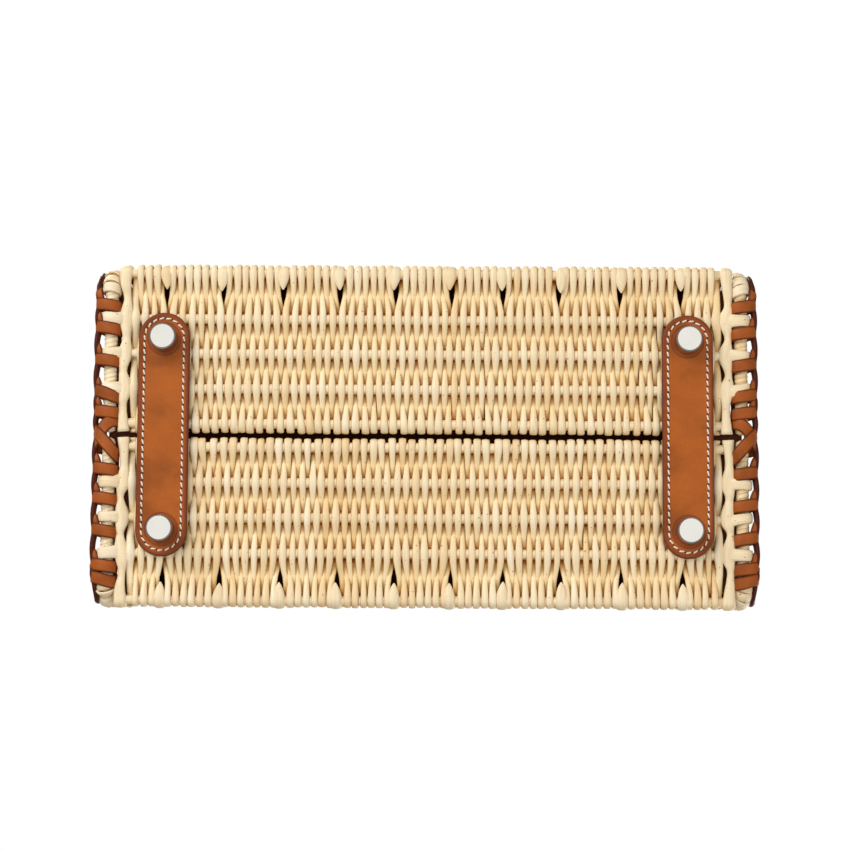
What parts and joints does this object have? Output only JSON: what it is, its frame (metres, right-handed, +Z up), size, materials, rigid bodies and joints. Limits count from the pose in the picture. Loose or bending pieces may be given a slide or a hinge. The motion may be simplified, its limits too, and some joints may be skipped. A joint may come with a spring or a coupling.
{
  "type": "basket box bag",
  "caption": "Small wicker box bag with laced leather sides, a hinged lid with a top handle, a magnetic tab clasp and turned feet on leather base tabs.",
  "frame": {"origin": "on the floor, in the middle of the four feet", "axes": "+Z up, -Y towards the front wall with the clasp, +X along the bag's length"},
  "size_m": [0.2048, 0.1052, 0.1988],
  "materials": {
    "wicker": "peeled willow, clear satin varnish",
    "tan_leather": "smooth calf, burnished edges",
    "lace_leather": "cut thong, waxed",
    "gusset_leather": "smooth calf, folded",
    "dark_leather": "dark brown, waxed",
    "nickel": "polished nickel plate",
    "steel": "plain"
  },
  "bodies": {
    "body": {"front_basket": "wicker", "back_basket": "wicker", "lining": "dark_leather", "left_gusset": "gusset_leather", "right_gusset": "gusset_leather", "left_lacing": "lace_leather", "right_lacing": "lace_leather", "front_rim_binding": "tan_leather", "back_rim_binding": "tan_leather", "left_base_tab": "tan_leather", "right_base_tab": "tan_leather", "foot_front_left": "nickel", "foot_front_right": "nickel", "foot_back_left": "nickel", "foot_back_right": "nickel", "foot_washers": "steel", "foot_nuts": "steel", "left_hinge_body_leaf": "nickel", "right_hinge_body_leaf": "nickel", "left_hinge_pin": "nickel", "right_hinge_pin": "nickel", "hinge_body_rivets": "nickel", "clasp_base": "nickel", "clasp_washer": "steel"},
    "lid": {"lid_basket": "wicker", "lid_binding": "tan_leather", "lid_lining": "dark_leather", "left_hinge_lid_leaf": "nickel", "right_hinge_lid_leaf": "nickel", "hinge_lid_rivets": "nickel", "clasp_tab": "tan_leather", "clasp_magnet": "steel", "clasp_cap": "nickel", "tab_rivets": "nickel", "left_handle_patch": "tan_leather", "right_handle_patch": "tan_leather", "left_handle_mount": "nickel", "right_handle_mount": "nickel", "handle_mount_rivets": "nickel", "left_handle_pin": "nickel", "right_handle_pin": "nickel"},
    "handle": {"handle": "tan_leather"}
  },
  "joints": [
    {"name": "lid_hinge", "type": "hinge", "parent": "body", "child": "lid", "pos_m": [0, 0.04037, 0.139], "axis": [-1, 0, 0], "range_deg": [0, 110]},
    {"name": "handle_swing", "type": "hinge", "parent": "lid", "child": "handle", "pos_m": [0, 0, 0.1533], "axis": [1, 0, 0], "range_deg": [-82, 82]}
  ]
}
